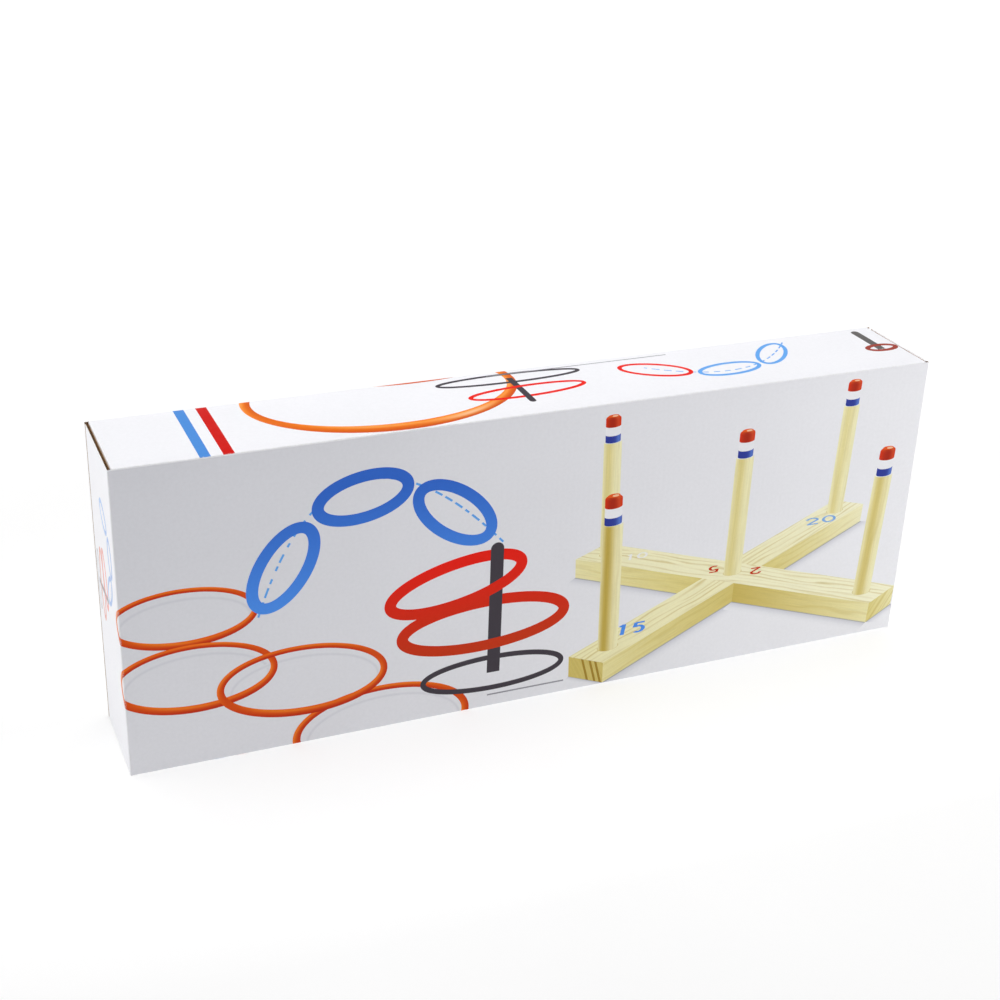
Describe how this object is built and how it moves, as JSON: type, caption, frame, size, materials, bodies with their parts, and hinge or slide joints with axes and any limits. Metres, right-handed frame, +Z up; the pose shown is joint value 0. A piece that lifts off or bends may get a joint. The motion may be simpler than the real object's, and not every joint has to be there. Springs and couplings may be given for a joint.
{
  "type": "ring toss set",
  "caption": "Closed printed carton for a wooden ring toss game, with hinged tuck flaps and dust flaps at both ends, and the base bars, pegs and rings packed inside.",
  "frame": {"origin": "the middle of the carton's base, the long narrow face that it stands on", "axes": "+X along the carton's length, to the right as one looks at the printed front; +Y from the front to the back; +Z up"},
  "size_m": [0.61, 0.08, 0.229],
  "materials": {
    "printed_board": "satin",
    "pine": "satin",
    "ring_plastic": "gloss",
    "leaflet_paper": "matte"
  },
  "bodies": {
    "carton": {"front_panel": "printed_board", "back_panel": "printed_board", "top_panel": "printed_board", "bottom_panel": "printed_board", "glue_flap": "printed_board", "base_bar_lower": "pine", "base_bar_upper": "pine", "peg_1": "pine", "peg_2": "pine", "peg_3": "pine", "peg_4": "pine", "peg_5": "pine", "ring_1": "ring_plastic", "ring_2": "ring_plastic", "ring_3": "ring_plastic", "ring_4": "ring_plastic", "ring_5": "ring_plastic", "instruction_leaflet": "leaflet_paper"},
    "left_tuck_flap": {"left_tuck_flap": "printed_board"},
    "left_tuck_tab": {"left_tuck_tab": "printed_board"},
    "left_top_dust_flap": {"left_top_dust_flap": "printed_board"},
    "left_bottom_dust_flap": {"left_bottom_dust_flap": "printed_board"},
    "right_tuck_flap": {"right_tuck_flap": "printed_board"},
    "right_tuck_tab": {"right_tuck_tab": "printed_board"},
    "right_top_dust_flap": {"right_top_dust_flap": "printed_board"},
    "right_bottom_dust_flap": {"right_bottom_dust_flap": "printed_board"}
  },
  "joints": [
    {"name": "left_flap_fold", "type": "hinge", "parent": "carton", "child": "left_tuck_flap", "pos_m": [-0.305, -0.04, 0.1145], "axis": [0, 0, 1], "range_deg": [0, 180]},
    {"name": "left_tab_fold", "type": "hinge", "parent": "left_tuck_flap", "child": "left_tuck_tab", "pos_m": [-0.305, 0.0375, 0.1145], "axis": [0, 0, 1], "range_deg": [0, 72]},
    {"name": "left_top_dust_fold", "type": "hinge", "parent": "carton", "child": "left_top_dust_flap", "pos_m": [-0.3026, 0, 0.229], "axis": [0, 1, 0], "range_deg": [0, 90]},
    {"name": "left_bottom_dust_fold", "type": "hinge", "parent": "carton", "child": "left_bottom_dust_flap", "pos_m": [-0.3026, 0, 0], "axis": [0, -1, 0], "range_deg": [0, 90]},
    {"name": "right_flap_fold", "type": "hinge", "parent": "carton", "child": "right_tuck_flap", "pos_m": [0.305, -0.04, 0.1145], "axis": [0, 0, -1], "range_deg": [0, 180]},
    {"name": "right_tab_fold", "type": "hinge", "parent": "right_tuck_flap", "child": "right_tuck_tab", "pos_m": [0.305, 0.0375, 0.1145], "axis": [0, 0, -1], "range_deg": [0, 72]},
    {"name": "right_top_dust_fold", "type": "hinge", "parent": "carton", "child": "right_top_dust_flap", "pos_m": [0.3026, 0, 0.229], "axis": [0, -1, 0], "range_deg": [0, 90]},
    {"name": "right_bottom_dust_fold", "type": "hinge", "parent": "carton", "child": "right_bottom_dust_flap", "pos_m": [0.3026, 0, 0], "axis": [0, 1, 0], "range_deg": [0, 90]}
  ],
  "couplings": [
    {"joint": "left_tab_fold", "follows": "left_flap_fold", "ratio": 0.4},
    {"joint": "left_top_dust_fold", "follows": "left_flap_fold", "ratio": 0.5},
    {"joint": "left_bottom_dust_fold", "follows": "left_flap_fold", "ratio": 0.5},
    {"joint": "right_tab_fold", "follows": "right_flap_fold", "ratio": 0.4},
    {"joint": "right_top_dust_fold", "follows": "right_flap_fold", "ratio": 0.5},
    {"joint": "right_bottom_dust_fold", "follows": "right_flap_fold", "ratio": 0.5}
  ]
}
